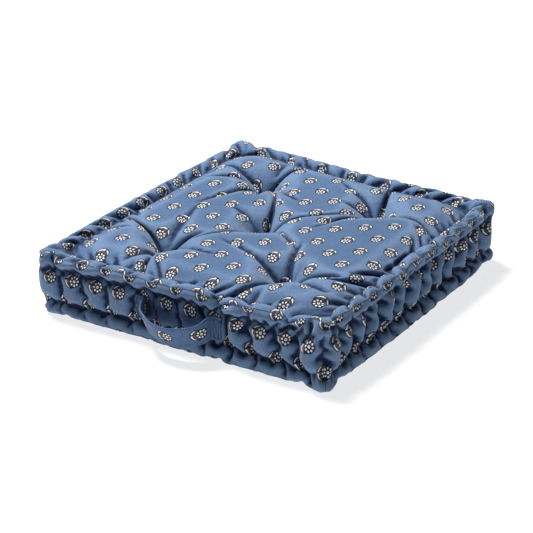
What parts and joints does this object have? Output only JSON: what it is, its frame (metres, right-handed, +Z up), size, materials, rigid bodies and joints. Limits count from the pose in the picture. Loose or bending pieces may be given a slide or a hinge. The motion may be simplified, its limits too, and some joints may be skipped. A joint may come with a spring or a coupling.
{
  "type": "floor cushion",
  "caption": "Square tufted floor cushion with rolled, stitched edges, gathered side strips and a fabric strap handle on the front.",
  "frame": {"origin": "on the resting plane, below the middle of the cushion without its handle", "axes": "+Z up; -Y towards the side with the strap handle (the front); +X to the right seen from the front"},
  "size_m": [0.5, 0.5384, 0.1],
  "materials": {
    "printed_cotton": "matte woven cotton with a small pale printed motif",
    "strap_cotton": "matte woven cotton, folded double",
    "fibre_filling": "matte loose fibre",
    "sewing_thread": "matte spun thread",
    "tufting_twine": "matte waxed twine"
  },
  "bodies": {
    "cushion": {"top_panel": "printed_cotton", "bottom_panel": "printed_cotton", "boxing_front": "printed_cotton", "boxing_right": "printed_cotton", "boxing_back": "printed_cotton", "boxing_left": "printed_cotton", "filling_core": "fibre_filling", "top_roll_rope": "fibre_filling", "bottom_roll_rope": "fibre_filling", "top_seam_thread": "sewing_thread", "bottom_seam_thread": "sewing_thread", "corner_seam_threads": "sewing_thread", "top_roll_stitching": "tufting_twine", "bottom_roll_stitching": "tufting_twine", "tuft_tie_centre": "tufting_twine", "tuft_tie_front_left": "tufting_twine", "tuft_tie_front_right": "tufting_twine", "tuft_tie_back_right": "tufting_twine", "tuft_tie_back_left": "tufting_twine", "handle_end_left": "strap_cotton", "handle_end_right": "strap_cotton", "handle_stitching_left": "sewing_thread", "handle_stitching_right": "sewing_thread"},
    "handle": {"handle_strap": "strap_cotton"}
  },
  "joints": [
    {"name": "handle_swing", "type": "hinge", "parent": "cushion", "child": "handle", "pos_m": [0, -0.2453, 0.05], "axis": [-1, 0, 0], "range_deg": [-26, 62]}
  ]
}
